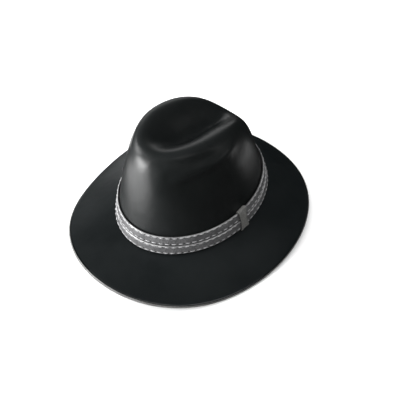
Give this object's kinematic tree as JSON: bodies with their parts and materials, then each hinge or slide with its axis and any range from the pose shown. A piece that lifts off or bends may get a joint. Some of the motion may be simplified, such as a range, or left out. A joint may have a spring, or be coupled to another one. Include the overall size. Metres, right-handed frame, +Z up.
{
  "type": "fedora hat",
  "caption": "Brimmed leather hat with a creased, pinched crown, a lining and sweatband inside, and a lift-off band of stitched straps held by a keeper loop.",
  "frame": {"origin": "centre of the hat's footprint on the table, at the height of the brim's lowest points", "axes": "+Z up, -Y towards the front of the hat, +X towards the wearer's left"},
  "size_m": [0.2896, 0.3334, 0.1525],
  "materials": {
    "crown_leather": "smooth satin black leather",
    "brim_leather": "smooth satin black leather",
    "brim_board": "matt pressed fibre board",
    "lining_satin": "dark satin",
    "lining_cord": "dark covered cord",
    "sweat_leather": "matt dark leather",
    "reed_plastic": "matt black",
    "bow_ribbon": "grosgrain ribbon",
    "dark_thread": "waxed thread",
    "band_leather": "semi-gloss grey leather",
    "keeper_leather": "matt grey leather",
    "backing_leather": "matt black leather",
    "light_thread": "waxed thread"
  },
  "bodies": {
    "hat": {"crown_shell": "crown_leather", "brim_top_leather": "brim_leather", "brim_stiffener": "brim_board", "brim_underside_leather": "brim_leather", "lining_side": "lining_satin", "lining_tip": "lining_satin", "lining_piping": "lining_cord", "sweatband": "sweat_leather", "sweatband_reed": "reed_plastic", "sweatband_stitches": "dark_thread", "sweatband_tape": "sweat_leather", "sweatband_bow": "bow_ribbon"},
    "band": {"band_backing": "backing_leather", "lower_strap": "band_leather", "upper_strap": "band_leather", "lower_strap_bottom_stitches": "light_thread", "lower_strap_top_stitches": "light_thread", "upper_strap_bottom_stitches": "light_thread", "upper_strap_top_stitches": "light_thread"},
    "keeper": {"keeper_loop": "keeper_leather", "keeper_stitches": "light_thread"}
  },
  "joints": [
    {"name": "band_lift", "type": "slide", "parent": "hat", "child": "band", "axis": [0, -0.0558, 0.9984], "range_m": [0, 0.13]},
    {"name": "keeper_slide", "type": "hinge", "parent": "band", "child": "keeper", "pos_m": [-0.04549, 0.00337, 0.04481], "axis": [0, -0.0558, 0.9984], "range_deg": [-2.5, 2.5]}
  ]
}
